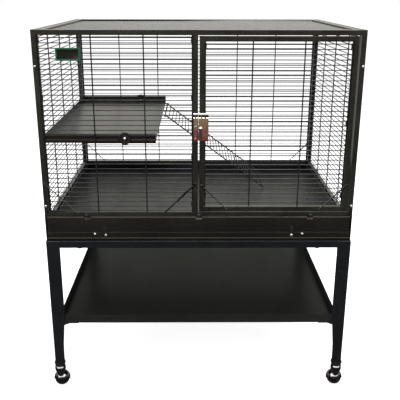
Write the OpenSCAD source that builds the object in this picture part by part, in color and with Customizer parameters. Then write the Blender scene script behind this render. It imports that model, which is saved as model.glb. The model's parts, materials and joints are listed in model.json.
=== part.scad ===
// Ferret cage on a rolling stand: bolted tube-and-wire panels, a front door with a turn latch,
// a slide-out tray, a half platform with a wire ramp, and a four-legged stand with a shelf.
// Millimetres. +Z is up, the door faces -Y, and the origin is on the floor under the middle.
// Inside each module, x = 0 is the middle, y = 0 is the front plane of the cage, z = 0 the floor.

/* [Cage] */
// Outside width of the cage
cage_w = 1016; // [800:1:1200]
// Outside depth of the cage
cage_d = 762; // [600:1:900]
// Height of the cage above the stand
cage_h = 685; // [600:1:800]
// Side of the square frame tube
tube = 16; // [14:0.5:18]
// Corner radius of the frame tube
tube_r = 1.5; // [0.5:0.1:2.5]

/* [Wires] */
// Thickness of the long wires
wire_d = 3; // [2:0.1:3.5]
// Thickness of the wires that cross them
upright_d = 4; // [3:0.1:4.5]
// Distance between the axes of two long wires
wire_pitch = 15.875; // [14:0.125:20]
// Distance from a rail's inner edge to the first long wire's axis
first_wire = 7.5; // [5:0.5:10]
// How deep the two wires melt into each other at a weld
weld_bite = 0.5; // [0.2:0.1:0.8]
// Distance between the upright wires of the front panels
front_upright_pitch = 159.5; // [120:0.5:165]
// Distance between the cross wires of the roof
roof_upright_pitch = 167; // [120:1:180]
// Distance from the middle upright of the back to the next ones
back_upright_pitch = 170; // [120:1:180]
// Distance from those to the outer uprights of the back
back_outer_pitch = 162; // [120:1:180]
// Distance between the upright wires of the sides
side_upright_pitch = 183; // [120:1:220]
// Distance from the left post to the first upright of the left panel
left_first_upright = 162.5; // [100:0.5:170]
// Distance from the door's latch stile to its first upright
door_first_upright = 147; // [100:1:150]

/* [Door] */
// Distance from the middle of the cage to the latch-side edge of the door
door_offset = 1.2; // [0:0.1:20]
// Gap between the centre post and the door
latch_gap = 4.2; // [3.2:0.1:12]
// Gap between the door and the right post
hinge_gap = 6; // [3:0.5:8]
// Gap above and below the door
door_gap = 2.5; // [2:0.25:4]
// Distance from the door's hinge edge to the pins
pin_inset = 22; // [18:1:30]
// Diameter of the hinge pins
pin_d = 6; // [5:0.5:8]
// How far a pin reaches into the door and into the frame
pin_reach = 12; // [8:1:13]
// Radial clearance of the parts that turn
turn_clearance = 0.06; // [0.03:0.01:0.1]

/* [Base and tray] */
// Height of the side and back walls below the wire panels
base_h = 58; // [45:1:80]
// Height of the front frame's underside above the cage's bottom
tray_opening_top = 87; // [76:1:110]
// Height of the bottom rails
base_rail_h = 12; // [10:1:16]
// Depth of the bottom rails
base_rail_d = 20; // [18:1:24]
// Thickness of the folded sheet parts
sheet_t = 1.5; // [1:0.1:2]
// Height of the tray floor's underside above the cage's bottom
tray_floor_z = 36; // [33:1:42]
// Height of the tray's side walls
tray_wall_h = 35; // [20:1:38]
// Width of the fixed corner strips beside the tray front
corner_strip = 8; // [7:0.5:12]
// Clearance around the tray front
tray_gap = 1; // [0.5:0.1:1.5]

/* [Platform and ramp] */
// Width of the platform
platform_w = 353; // [260:1:420]
// Height of the platform's lips above its underside
platform_lip = 25.5; // [20:0.5:40]
// How far the lips reach down past the platform's underside
platform_hem = 4; // [0:0.5:8]
// Distance from the top long wire down to the wires that the platform is clamped to
clamp_drop = 310; // [200:1:400]
// Distance from the left panel's first upright to the front clamp
clamp_from_upright = 94; // [40:1:110]
// Gap between the platform and the side frame
platform_gap = 2; // [1:0.5:6]
// Ramp length between its end rods
ramp_len = 490; // [450:1:560]
// Distance between the ramp's side rods
ramp_w = 240; // [150:1:260]
// Thickness of the ramp's side and end rods
ramp_rod_d = 5; // [4:0.5:6]
// Distance from the front plane to the middle of the ramp
ramp_y = 590; // [300:1:600]

/* [Stand] */
// Height of the stand
stand_h = 577; // [500:1:650]
// Side of the square tube of the stand
stand_tube = 25; // [22:1:30]
// Thickness of the legs' metal
leg_t = 2.5; // [2:0.1:3.5]
// Width of a leg's two flanges at the top
leg_w = 45; // [42:1:60]
// Width of the flanges at the foot
leg_foot_w = 33; // [33:1:40]
// Height of the shelf's underside above the floor
shelf_z = 268.5; // [200:0.5:320]
// Height of the shelf's lips
shelf_lip = 31; // [20:1:40]
// Gap between the shelf and the side flange of a leg
shelf_side_gap = 26; // [10:1:30]

/* [Casters] */
// Height from the floor to the foot of the leg
caster_h = 103; // [100:1:115]
// Radius of the caster ball
ball_r = 26.5; // [24:0.5:28]
// Wall of the caster's hood
hood_t = 1.4; // [1:0.1:2]
// Gap between the ball and the hood
hood_gap = 0.8; // [0.5:0.1:1.5]
// Radius of the caster's stem
stem_r = 5; // [4:0.5:6]
// Distance from the swivel's axis to the ball's centre
caster_trail = 17; // [10:1:20]
// How far the hood's rim slopes down to the rear, in degrees
hood_tilt = 19; // [0:1:25]

/* [Hidden] */

$fn = 48;
eps = 0.01;

// Colours
frame_paint = [0.16, 0.16, 0.145];
stand_paint = [0.12, 0.13, 0.145];
wire_paint = [0.15, 0.145, 0.16];
pan_paint = [0.4, 0.4, 0.37];
zinc = [0.75, 0.75, 0.75];
chrome_plate = [0.8, 0.8, 0.82];
black_plastic = [0.07, 0.07, 0.07];
black_rubber = [0.05, 0.05, 0.05];

// Levels above the floor
cage_z = stand_h;
top_z = cage_z + cage_h;
panel_z = cage_z + base_h;
front_z = cage_z + tray_opening_top;
rail_top_z = top_z - tube;

// Widths across the middle
half_w = cage_w / 2;
inner_x = half_w - tube;
inner_d = cage_d - 2 * tube;

// Door and centre post
door_x0 = door_offset;
door_x1 = inner_x - hinge_gap;
post_x1 = door_x0 - latch_gap;
post_x0 = post_x1 - tube;
door_z0 = front_z + tube + door_gap;
door_z1 = rail_top_z - door_gap;
pin_x = door_x1 - pin_inset;
pin_y = tube / 2;

// Fasteners
fit_clearance = 0.02;
bolt_r = 2.5;
bolt_clearance = 0.2;
bolt_head_r = 4;
bolt_head_h = 3;
bolt_inset = 6;
bolt_rise = 37;
bolt_drop = 109;
nut_r = 4.5;
nut_h = 4;

// Braces
brace_d = 3;
brace_eye_r = 4;
brace_rise = tube - brace_eye_r;
panel_brace_reach = 102;
door_brace_reach = 82;
back_brace_reach = 86;
screw_head_r = 3.2;
screw_head_h = 1.8;

// Wire panels: the long wires lie in the middle of the tube, the uprights outside them
mesh_y = tube / 2;
upright_offset = (wire_d + upright_d) / 2 - weld_bite;
wire_sides = 8;
wire_face = wire_d / 2;
tab_w = 6;
tab_t = 2;

// Sill and thumb screws
sill_h = 14;
sill_d = 12;
sill_t = 1.5;
sill_drop = 10;
thumb_pitch = 368;
thumb_z = front_z + 4.5;
thumb_r = 7.25;
thumb_l = 9;
thumb_neck = 2;
notch_w = 19;
notch_depth = 9.5;

// Tray
tray_face_y = -2.5;
tray_z = cage_z + tray_floor_z;
tray_half_w = inner_x - 6;
tray_wall_y1 = cage_d - tube - 2;
tray_back_y = cage_d - 2 * sheet_t;
tray_hem = 8;
tray_face_z0 = cage_z + base_rail_h + 2;
tray_face_z1 = front_z - tray_gap / 2;
tray_flange = 10;
runner_x0 = tray_half_w - 12;
groove_z = cage_z + 32.7;
groove_r = 1.2;
groove_depth = 0.6;

// Tray locks: a tab on a spindle that carries a cam behind the bottom rail
lock_x = 309;
lock_z = cage_z + 23;
lock_tab_l = 31;
lock_tab_w = 14;
lock_tab_t = 2.5;
lock_spindle_r = 3;
lock_gap = 0.5;
lock_cam_l = 17;
lock_cam_w = 9;
lock_cam_y = base_rail_d + 1;
stop_screw_x = lock_x + lock_tab_l + 5;
stop_screw_z = lock_z + 4;

// Latch
latch_rise = 387.5;
latch_z = cage_z + latch_rise;
latch_pivot_drop = 5;
latch_pivot_z = latch_z - latch_pivot_drop;
latch_half_h = 44;
// Header of the latch: a rib, a recess with the screws, and a second rib
latch_rib_top = 5.5;
latch_rib_low = 6.5;
latch_recess = 7.5;
latch_recess_z = latch_z + latch_half_h - latch_rib_top - latch_recess / 2;
latch_plate_x0 = post_x1 + 1;
latch_plate_w = 32;
latch_bulge = 2.5;
latch_pivot_x = door_x0 + 4;
latch_spindle_r = 2.5;
latch_gap_y = 1.2;
lever_t = 3.5;
lever_l = 40;
lever_w = 9;
lever_boss_r = 7;
lever_boss_h = 2.5;
keeper_t = 1.5;
keeper_w = tube - 4;
keeper_hook_w = 9;
lever_y1 = -latch_bulge - latch_gap_y;
lever_y0 = lever_y1 - lever_t;
latch_reach = lever_boss_h - lever_y0;

// Platform
clamp_mid_z = rail_top_z - first_wire - (floor(clamp_drop / wire_pitch) + 0.5) * wire_pitch;
clamp_sink = 2;
clamp_z = clamp_mid_z - clamp_sink;
clamp_front_x = -inner_x + left_first_upright + clamp_from_upright;
clamp_back_reach = 76;
clamp_back_x = -back_upright_pitch - clamp_back_reach;
platform_sink = 13.5;
platform_z = clamp_mid_z - platform_sink;
platform_x0 = -inner_x + platform_gap;
platform_x1 = platform_x0 + platform_w;
platform_y0 = mesh_y + wire_face;
platform_y1 = cage_d - mesh_y - wire_face;
washer_r = 20.5;
washer_t = 3;
clamp_bolt_r = 3;

// Ramp
loop_wall = 2.1;
loop_clearance = 0.08;
loop_r = ramp_rod_d / 2 + loop_clearance + loop_wall;
loop_w = 12;
loop_y = ramp_w / 2 + 4 + loop_w / 2;
hinge_reach = 5;
hinge_drop = 2;
hinge_x = platform_x1 + loop_r + hinge_reach;
hinge_z = platform_z + 2 * sheet_t - loop_r - hinge_drop;
foot_gap = 0.3;
foot_z = tray_z + sheet_t + foot_gap + ramp_rod_d / 2;
ramp_angle = asin((hinge_z - foot_z) / ramp_len);
rung_overhang = 3;

// Name plate
plate_w = 75;
plate_h = 38.5;
plate_t = 2;
plate_border = 4;
plate_inset = 107.5;
plate_x = -half_w + plate_inset;
plate_drop = 7;
plate_top_z = rail_top_z - first_wire - 1.5 * wire_pitch - plate_drop;

// Stand
stand_half_w = half_w;
leg_taper_rise = 33;
leg_taper_drop = 87;
leg_taper_z0 = shelf_z + leg_taper_rise;
leg_taper_z1 = shelf_z - leg_taper_drop;
leg_mid_w = leg_foot_w + 1.5;
shelf_half_w = stand_half_w - shelf_side_gap;
bracket_l = 88;
bracket_t = 4;
bracket_drop = 20;
bracket_gusset = 12;
stand_bolt_x = 400;
stand_bolt_y = base_rail_d / 2;
stand_bolt_r = 3;
stand_bolt_head_r = 7;
stand_bolt_head_h = 4;
shelf_bolt_x = leg_w - 12;

// Casters; a swivel stands closer to the side of the stand than to its front
swivel_in_x = 10;
swivel_in_y = 14;
socket_w = 24;
socket_h = 30;
socket_disc_r = 20;
socket_disc_h = 4;
hood_r = ball_r + hood_gap + hood_t;
neck_r = 19;
axle_r = 2.5;
axle_head = 1.2;
swivel_gap = 0.3;
ball_groove = 1;

// The casters reach further back than anything reaches forward: the cage is off the middle
front_reach = max(latch_reach, thumb_l + thumb_neck, socket_disc_r - swivel_in_y);
back_reach = max(brace_d + screw_head_h, caster_trail + hood_r - swivel_in_y);
front_y = -(cage_d + back_reach - front_reach) / 2;

// ---- Shared shapes ----

module from_front() {
    translate([0, front_y, 0]) children();
}

// Square outline with round corners, its low corner at the origin
module round_square(side, r) {
    translate([r, 0]) square([side - 2 * r, side]);
    translate([0, r]) square([side, side - 2 * r]);
    for (x = [r, side - r], y = [r, side - r]) translate([x, y]) circle(r, $fn = 24);
}

module tube_x(x0, x1, y, z) {
    translate([x0, y, z]) rotate([90, 0, 90]) linear_extrude(x1 - x0) round_square(tube, tube_r);
}

module tube_y(x, y0, y1, z) {
    translate([x, y1, z]) rotate([90, 0, 0]) linear_extrude(y1 - y0) round_square(tube, tube_r);
}

module tube_z(x, y, z0, z1) {
    translate([x, y, z0]) linear_extrude(z1 - z0) round_square(tube, tube_r);
}

// Box between two opposite corners
module block(p, q) {
    translate(p) cube(q - p);
}

// Round bar along +Y from y0 to y1
module bar_y(x, z, r, y0, y1) {
    translate([x, y1, z]) rotate([90, 0, 0]) cylinder(h = y1 - y0, r = r);
}

// Welded wire along +X with flat sides facing front and up
module wire(length, d) {
    rotate([0, 90, 0]) rotate(180 / wire_sides)
        cylinder(h = length, r = d / 2 / cos(180 / wire_sides), $fn = wire_sides);
}

// Wires that fill an opening w wide and h high, with an upright against the frame at both ends;
// the outside is towards -Y
module wire_panel(w, h, uprights) {
    rows = floor((h - first_wire - wire_d / 2) / wire_pitch) + 1;
    for (k = [0 : rows - 1])
        translate([0, 0, h - first_wire - k * wire_pitch]) wire(w, wire_d);
    for (x = concat([upright_d / 2, w - upright_d / 2], uprights))
        translate([x, -upright_offset, h]) rotate([0, 90, 0]) wire(h, upright_d);
}

// Tabs inside a wire panel w wide and h high, each joining long wires k and k + 1 at both ends
module wire_tabs(w, h, rows) {
    reach = wire_pitch / 2 + wire_face;
    for (x = [0, w - tab_w], k = rows)
        translate([x, wire_face - weld_bite, h - first_wire - (k + 0.5) * wire_pitch - reach])
            cube([tab_w, tab_t + weld_bite, 2 * reach]);
}

// Places of a number of wires at one pitch, around the middle of w
function centred(w, count, pitch) = [for (k = [0 : count - 1]) w / 2 + (k - (count - 1) / 2) * pitch];

// Brace rod from an upright down to a rail; side is +1 where the rail lies to the right
module brace(x, z, reach, side) {
    translate([x, -brace_d / 2, z + reach]) rotate([0, side > 0 ? 45 : 135, 0])
        wire(reach * sqrt(2), brace_d);
    for (p = [[x, z + reach], [x + side * reach, z]])
        bar_y(p[0], p[1], brace_eye_r, -brace_d, 0);
}

// Heads of the two screws of a brace
module brace_heads(x, z, reach, side) {
    for (p = [[x, z + reach], [x + side * reach, z]])
        bar_y(p[0], p[1], screw_head_r, -brace_d - screw_head_h, -brace_d);
}

// Turns a shape on the front plane to the back plane
module on_back() {
    translate([0, cage_d, 0]) rotate(180) children();
}

// ---- Cage panels ----

// Holes for the bolts that go through one tube into the next, from the plane y = 0
module bolt_holes(y0, y1) {
    for (s = [-1, 1], z = [front_z + bolt_rise, top_z - bolt_drop])
        bar_y(s * (half_w - bolt_inset), z, bolt_r + bolt_clearance, y0, y1);
}

module front_frame() {
    color(frame_paint) from_front() difference() {
        union() {
            for (x = [-half_w, post_x0, inner_x]) tube_z(x, 0, front_z, top_z);
            for (z = [front_z, rail_top_z]) tube_x(-half_w + tube_r, half_w - tube_r, 0, z);
        }
        bolt_holes(-eps, tube + eps);
        for (k = [-1 : 1])
            bar_y(k * thumb_pitch, thumb_z, bolt_r + bolt_clearance, -eps, tube + eps);
        for (z = [front_z + tube - pin_reach, rail_top_z - eps]) translate([pin_x, pin_y, z])
            cylinder(h = pin_reach + eps, r = pin_d / 2 + fit_clearance);
    }
}

module front_wires() {
    w = post_x0 + inner_x;
    h = rail_top_z - front_z - tube;
    color(wire_paint) from_front() translate([-inner_x, mesh_y, front_z + tube]) {
        wire_panel(w, h, [left_first_upright, left_first_upright + front_upright_pitch]);
        wire_tabs(w, h, [0, 11, 23, 33]);
    }
}

module back_frame() {
    color(frame_paint) from_front() difference() {
        union() {
            for (x = [-half_w, inner_x]) tube_z(x, cage_d - tube, panel_z, top_z);
            for (z = [panel_z, rail_top_z])
                tube_x(-half_w + tube_r, half_w - tube_r, cage_d - tube, z);
        }
        on_back() bolt_holes(-eps, tube + eps);
    }
}

module back_wires() {
    color(wire_paint) from_front() translate([inner_x, cage_d - mesh_y, panel_z + tube])
        rotate(180) wire_panel(2 * inner_x, rail_top_z - panel_z - tube, concat(
            centred(2 * inner_x, 3, back_upright_pitch),
            centred(2 * inner_x, 2, 2 * (back_upright_pitch + back_outer_pitch))));
}

// Side panel frame, between the front and back frames; x is its low face
module side_frame(x) {
    difference() {
        union() {
            for (y = [tube, cage_d - 2 * tube]) tube_z(x, y, panel_z, top_z);
            for (z = [panel_z, rail_top_z])
                tube_y(x, tube + tube_r, cage_d - tube - tube_r, z);
        }
        bolt_holes(tube - eps, 2 * tube - 1);
        on_back() bolt_holes(tube - eps, 2 * tube - 1);
    }
}

module left_frame() {
    color(frame_paint) from_front() side_frame(-half_w);
}

module right_frame() {
    color(frame_paint) from_front() side_frame(inner_x);
}

module side_wires() {
    w = inner_d - 2 * tube;
    wire_panel(w, rail_top_z - panel_z - tube, centred(w, 3, side_upright_pitch));
}

module left_wires() {
    color(wire_paint) from_front() translate([-half_w + mesh_y, cage_d - 2 * tube, panel_z + tube])
        rotate(-90) side_wires();
}

module right_wires() {
    color(wire_paint) from_front() translate([half_w - mesh_y, 2 * tube, panel_z + tube])
        rotate(90) side_wires();
}

module roof_frame() {
    color(frame_paint) from_front() {
        for (x = [-inner_x, inner_x - tube]) tube_y(x, tube, cage_d - tube, rail_top_z);
        for (y = [tube, cage_d - 2 * tube])
            tube_x(-inner_x + tube_r, inner_x - tube_r, y, rail_top_z);
    }
}

module roof_wires() {
    w = 2 * (inner_x - tube);
    color(wire_paint) from_front() translate([-w / 2, cage_d - 2 * tube, rail_top_z + mesh_y])
        rotate([90, 0, 0])
            wire_panel(w, inner_d - 2 * tube, centred(w, 5, roof_upright_pitch));
}

module corner_braces() {
    z = front_z + brace_rise;
    color(frame_paint) from_front() {
        brace(-half_w + tube / 2, z, panel_brace_reach, 1);
        brace(post_x0 + tube / 2, z, panel_brace_reach, -1);
        on_back() for (s = [-1, 1])
            brace(s * (half_w - tube / 2), panel_z + brace_rise, back_brace_reach, -s);
    }
}

module brace_screws() {
    z = front_z + brace_rise;
    color(frame_paint) from_front() {
        brace_heads(-half_w + tube / 2, z, panel_brace_reach, 1);
        brace_heads(post_x0 + tube / 2, z, panel_brace_reach, -1);
        on_back() for (s = [-1, 1])
            brace_heads(s * (half_w - tube / 2), panel_z + brace_rise, back_brace_reach, -s);
    }
}

// Bolt from the plane y = 0 through one tube into the next, with a low round head
module panel_bolt(x, z) {
    bar_y(x, z, bolt_head_r, -bolt_head_h, 0);
    bar_y(x, z, bolt_r, -eps, 2 * tube - 2);
}

module panel_bolts() {
    color(zinc) from_front() for (s = [-1, 1], z = [front_z + bolt_rise, top_z - bolt_drop]) {
        panel_bolt(s * (half_w - bolt_inset), z);
        on_back() panel_bolt(s * (half_w - bolt_inset), z);
    }
}

// Angle behind the front frame's bottom rail, which the thumb screws pull the frame against
module front_sill() {
    color(frame_paint) from_front() difference() {
        union() {
            block([-inner_x, tube, front_z - sill_drop],
                [inner_x, tube + sill_t, front_z + sill_h]);
            block([-inner_x, tube, front_z], [inner_x, tube + sill_d, front_z + sill_t]);
        }
        for (k = [-1 : 1])
            bar_y(k * thumb_pitch, thumb_z, bolt_r + bolt_clearance, tube - eps, tube + sill_t + eps);
    }
}

module thumb_screws() {
    color(black_plastic) from_front() for (k = [-1 : 1]) translate([k * thumb_pitch, 0, thumb_z]) {
        rotate([90, 0, 0]) rotate_extrude() polygon([
            [0, 0], [thumb_r - 2, 0], [thumb_r - 2, thumb_neck], [thumb_r, thumb_neck],
            [thumb_r, thumb_neck + thumb_l - 2], [thumb_r - 2, thumb_neck + thumb_l],
            [0, thumb_neck + thumb_l]]);
        bar_y(0, 0, bolt_r, -eps, tube + sill_t + nut_h);
    }
}

// ---- Base ----

module base_frame() {
    y1 = cage_d;
    color(frame_paint) from_front() difference() {
        union() {
            block([-half_w, 0, cage_z], [half_w, base_rail_d, cage_z + base_rail_h]);
            block([-half_w, y1 - base_rail_d, cage_z], [half_w, y1, cage_z + base_rail_h]);
            for (x = [-half_w, half_w - base_rail_d])
                block([x, 0, cage_z], [x + base_rail_d, y1, cage_z + base_rail_h]);
            for (x = [-half_w, half_w - corner_strip + tray_gap / 2])
                block([x, 0, cage_z], [x + corner_strip - tray_gap / 2, tube, front_z]);
        }
        stand_bolt_holes(cage_z - eps, cage_z + base_rail_h + eps);
    }
}

module stand_bolt_holes(z0, z1) {
    for (x = [-stand_bolt_x, stand_bolt_x], y = [stand_bolt_y, cage_d - stand_bolt_y])
        translate([x, y, z0]) cylinder(h = z1 - z0, r = stand_bolt_r + bolt_clearance);
}

// C section of a base wall along +X, its outside at y = 0
module wall_channel(length) {
    rotate([90, 0, 90]) linear_extrude(length) {
        square([sheet_t, base_h - base_rail_h]);
        for (z = [0, base_h - base_rail_h - sheet_t])
            translate([0, z]) square([tube - 1, sheet_t]);
    }
}

module base_walls() {
    z = cage_z + base_rail_h;
    color(frame_paint) from_front() {
        translate([-half_w, cage_d - tube, z]) rotate(-90) wall_channel(inner_d);
        translate([half_w, tube, z]) rotate(90) wall_channel(inner_d);
        translate([half_w, cage_d, z]) rotate(180) wall_channel(cage_w);
    }
}

// Angles on the side walls that the tray slides on
module tray_runners() {
    web_h = 18;
    x1 = half_w - sheet_t;
    y0 = tube + 2;
    color(frame_paint) from_front() for (s = [0, 1]) mirror([s, 0, 0]) {
        block([x1 - sheet_t, y0, tray_z - web_h], [x1, cage_d - y0, tray_z]);
        block([runner_x0, y0, tray_z - sheet_t], [x1, cage_d - y0, tray_z]);
    }
}

// ---- Door ----

module door_frame() {
    color(frame_paint) from_front() difference() {
        union() {
            for (x = [door_x0, door_x1 - tube]) tube_z(x, 0, door_z0, door_z1);
            for (z = [door_z0, door_z1 - tube]) tube_x(door_x0 + tube_r, door_x1 - tube_r, 0, z);
        }
        for (z = [door_z0 - eps, door_z1 - pin_reach])
            translate([pin_x, pin_y, z])
                cylinder(h = pin_reach + eps, r = pin_d / 2 + turn_clearance);
        bar_y(latch_pivot_x, latch_pivot_z, latch_spindle_r + turn_clearance, -eps, tube + eps);
    }
}

module door_wires() {
    w = door_x1 - door_x0 - 2 * tube;
    h = door_z1 - door_z0 - 2 * tube;
    color(wire_paint) from_front() translate([door_x0 + tube, mesh_y, door_z0 + tube]) {
        wire_panel(w, h, [door_first_upright, door_first_upright + front_upright_pitch]);
        wire_tabs(w, h, [0, 15, 30]);
    }
}

module door_braces() {
    z = door_z0 + tube / 2;
    color(frame_paint) from_front() {
        brace(door_x0 + tube / 2, z, door_brace_reach, 1);
        brace(door_x1 - tube / 2, z, door_brace_reach, -1);
    }
}

module door_screws() {
    z = door_z0 + tube / 2;
    color(frame_paint) from_front() {
        brace_heads(door_x0 + tube / 2, z, door_brace_reach, 1);
        brace_heads(door_x1 - tube / 2, z, door_brace_reach, -1);
    }
}

// Pins with a washer in the gap, fast in the frame
module hinge_pins() {
    washer_h = door_gap - 2 * turn_clearance;
    color(zinc) from_front() {
        translate([pin_x, pin_y, door_z1 - pin_reach + turn_clearance])
            cylinder(h = 2 * pin_reach + door_gap - turn_clearance, d = pin_d);
        translate([pin_x, pin_y, rail_top_z - washer_h]) cylinder(h = washer_h, r = pin_d / 2 + 2);
        translate([pin_x, pin_y, door_z0 - door_gap - pin_reach])
            cylinder(h = 2 * pin_reach + door_gap - turn_clearance, d = pin_d);
        translate([pin_x, pin_y, front_z + tube]) cylinder(h = washer_h, r = pin_d / 2 + 2);
    }
}

// ---- Latch ----

// Plate with a crowned face, a flat recess with two screws near the top and a rib above and
// below it
module latch_plate() {
    w = latch_plate_w;
    crown = latch_bulge - sheet_t;
    steps = 4;
    rib_y = latch_bulge + 0.5;
    crown_h = 2 * latch_half_h - latch_rib_top - latch_recess - latch_rib_low;
    color(chrome_plate) from_front() difference() {
        translate([latch_plate_x0 + w / 2, 0, latch_z]) {
            translate([-w / 2, -sheet_t, -latch_half_h]) cube([w, sheet_t, 2 * latch_half_h]);
            translate([0, 0, -latch_half_h]) linear_extrude(crown_h) polygon([
                [w / 2, 0], [-w / 2, 0],
                for (k = [-steps : steps])
                    [w / 2 * k / steps, -sheet_t - crown * (1 - pow(k / steps, 2))]]);
            translate([-w / 2, -rib_y, crown_h - latch_half_h]) cube([w, rib_y, latch_rib_low]);
            translate([-w / 2, -rib_y, latch_half_h - latch_rib_top])
                cube([w, rib_y, latch_rib_top]);
            for (x = [-6, 6])
                bar_y(x, latch_recess_z - latch_z, screw_head_r,
                    -sheet_t - screw_head_h, eps - sheet_t);
        }
        bar_y(latch_pivot_x, latch_pivot_z, latch_spindle_r + turn_clearance,
            -latch_bulge - 1, eps);
    }
}

// Lever that hangs open; turned a quarter turn it lies behind the keeper's hook
module latch_lever() {
    color(chrome_plate) from_front() translate([latch_pivot_x, 0, latch_pivot_z]) {
        bar_y(0, 0, latch_spindle_r, lever_y0, tube + 2);
        bar_y(0, 0, lever_boss_r, lever_y0, lever_y1);
        translate([0, lever_y0, 0]) rotate([90, 0, 0])
            cylinder(h = lever_boss_h, r1 = lever_boss_r - 1, r2 = lever_boss_r - 3);
        translate([-lever_w / 2, lever_y0, lever_w / 2 - lever_l])
            cube([lever_w, lever_t, lever_l - lever_w / 2]);
        bar_y(0, lever_w / 2 - lever_l, lever_w / 2, lever_y0, lever_y1);
    }
}

module latch_keeper() {
    x0 = post_x0 + 2;
    hook_y = lever_y0 - latch_gap_y;
    hook_z = latch_pivot_z + lever_w / 2 + 1.5;
    color(chrome_plate) from_front() {
        block([x0, -keeper_t, latch_z - latch_half_h], [x0 + keeper_w, 0, latch_z + latch_half_h]);
        translate([x0 + (keeper_w - keeper_hook_w) / 2, 0, 0]) {
            block([0, hook_y - keeper_t, hook_z],
                [keeper_hook_w, -eps, hook_z + 2 * keeper_t]);
            block([0, hook_y - keeper_t, latch_pivot_z - lever_w / 2],
                [keeper_hook_w, hook_y, hook_z + eps]);
        }
        for (z = [latch_recess_z - latch_recess / 2 - latch_rib_low, latch_recess_z + latch_recess / 2])
            block([x0, -2 * keeper_t, z],
                [x0 + keeper_w, 0, z + (z < latch_recess_z ? latch_rib_low : latch_rib_top)]);
        for (z = [latch_recess_z, latch_z - latch_half_h + 6])
            bar_y(x0 + keeper_w / 2, z, screw_head_r, -keeper_t - screw_head_h, -keeper_t + eps);
    }
}

// ---- Tray ----

module tray() {
    face_half = half_w - corner_strip - tray_gap / 2;
    floor_y0 = tray_face_y + sheet_t;
    color(pan_paint) from_front() difference() {
        union() {
            block([-face_half, tray_face_y, tray_face_z0], [face_half, floor_y0, tray_face_z1]);
            for (z = [tray_face_z0, tray_face_z1 - sheet_t])
                block([-face_half, tray_face_y, z], [face_half, tray_flange, z + sheet_t]);
            block([-tray_half_w, tray_face_y, tray_z], [tray_half_w, tray_back_y, tray_z + sheet_t]);
            for (x = [-tray_half_w, tray_half_w - sheet_t])
                block([x, tray_face_y, tray_z], [x + sheet_t, tray_wall_y1, tray_z + tray_wall_h]);
            block([2 - runner_x0, tray_back_y - sheet_t, tray_z - tray_hem],
                [runner_x0 - 2, tray_back_y, tray_z + eps]);
        }
        translate([-face_half - 1, tray_face_y + groove_depth - groove_r, groove_z])
            rotate([0, 90, 0]) cylinder(h = 2 * face_half + 2, r = groove_r, $fn = 24);
        for (k = [-1 : 1])
            block([k * thumb_pitch - notch_w / 2, tray_face_y - 1, tray_face_z1 - notch_depth],
                [k * thumb_pitch + notch_w / 2, tray_flange + 1, tray_face_z1 + 1]);
        for (s = [-1, 1]) {
            bar_y(s * lock_x, lock_z, lock_spindle_r + turn_clearance, tray_face_y - 1, floor_y0 + 1);
            bar_y(s * stop_screw_x, stop_screw_z, bolt_r + bolt_clearance,
                tray_face_y - 1, floor_y0 + 1);
        }
    }
}

module tray_screws() {
    color(zinc) from_front() for (s = [-1, 1]) {
        bar_y(s * stop_screw_x, stop_screw_z, bolt_head_r, tray_face_y - bolt_head_h, tray_face_y);
        bar_y(s * stop_screw_x, stop_screw_z, bolt_r, tray_face_y - eps, tray_face_y + 8);
        bar_y(s * stop_screw_x, stop_screw_z, nut_r,
            tray_face_y + sheet_t, tray_face_y + sheet_t + nut_h);
    }
}

// Tab up, cam level: open. The tab turned outwards swings the cam down behind the bottom rail
module tray_lock(side) {
    y1 = tray_face_y - lock_gap;
    y0 = y1 - lock_tab_t;
    translate([side * lock_x, 0, lock_z]) {
        bar_y(0, 0, lock_spindle_r, y0, lock_cam_y + lock_tab_t);
        bar_y(0, 0, lock_tab_w / 2, y0, y1);
        block([-lock_tab_w / 2, y0, 0], [lock_tab_w / 2, y1, lock_tab_l - lock_tab_w / 2]);
        bar_y(0, lock_tab_l - lock_tab_w / 2, lock_tab_w / 2, y0, y1);
        bar_y(0, 0, lock_cam_w / 2, lock_cam_y, lock_cam_y + lock_tab_t);
        mirror([side < 0 ? 1 : 0, 0, 0])
            block([0, lock_cam_y, -lock_cam_w / 2], [lock_cam_l, lock_cam_y + lock_tab_t, lock_cam_w / 2]);
        bar_y(0, 0, bolt_head_r, y0 - bolt_head_h, y0 + eps);
    }
}

module tray_lock_left() {
    color(frame_paint) from_front() tray_lock(-1);
}

module tray_lock_right() {
    color(frame_paint) from_front() tray_lock(1);
}

// ---- Platform and ramp ----

// Pan with lips at the front, back and left; its right edge is open for the ramp
module platform() {
    z0 = platform_z - platform_hem;
    z1 = platform_z + platform_lip;
    color(pan_paint) from_front() difference() {
        union() {
            block([platform_x0, platform_y0, platform_z],
                [platform_x1, platform_y1, platform_z + sheet_t]);
            for (y = [platform_y0, platform_y1 - sheet_t])
                block([platform_x0, y, z0], [platform_x1, y + sheet_t, z1]);
            block([platform_x0, platform_y0, z0], [platform_x0 + sheet_t, platform_y1, z1]);
        }
        bar_y(clamp_front_x, clamp_z, clamp_bolt_r + bolt_clearance,
            platform_y0 - 1, platform_y0 + sheet_t + 1);
        bar_y(clamp_back_x, clamp_z, clamp_bolt_r + bolt_clearance,
            platform_y1 - sheet_t - 1, platform_y1 + 1);
    }
}

// Cup washer in front of the wires, with a bolt head sunk in it
module clamp_washer() {
    translate([0, 0, clamp_z]) rotate([90, 0, 0]) rotate_extrude() polygon([
        [clamp_bolt_r + bolt_clearance, 0], [washer_r, 0], [washer_r, washer_t - 1],
        [washer_r - 2, washer_t], [clamp_bolt_r + 3, washer_t],
        [clamp_bolt_r + bolt_clearance, washer_t - 1]]);
}

module clamp_washers() {
    y = mesh_y - wire_face;
    color(black_plastic) from_front() {
        translate([clamp_front_x, y, 0]) clamp_washer();
        translate([clamp_back_x, cage_d - y, 0]) rotate(180) clamp_washer();
    }
}

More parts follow.
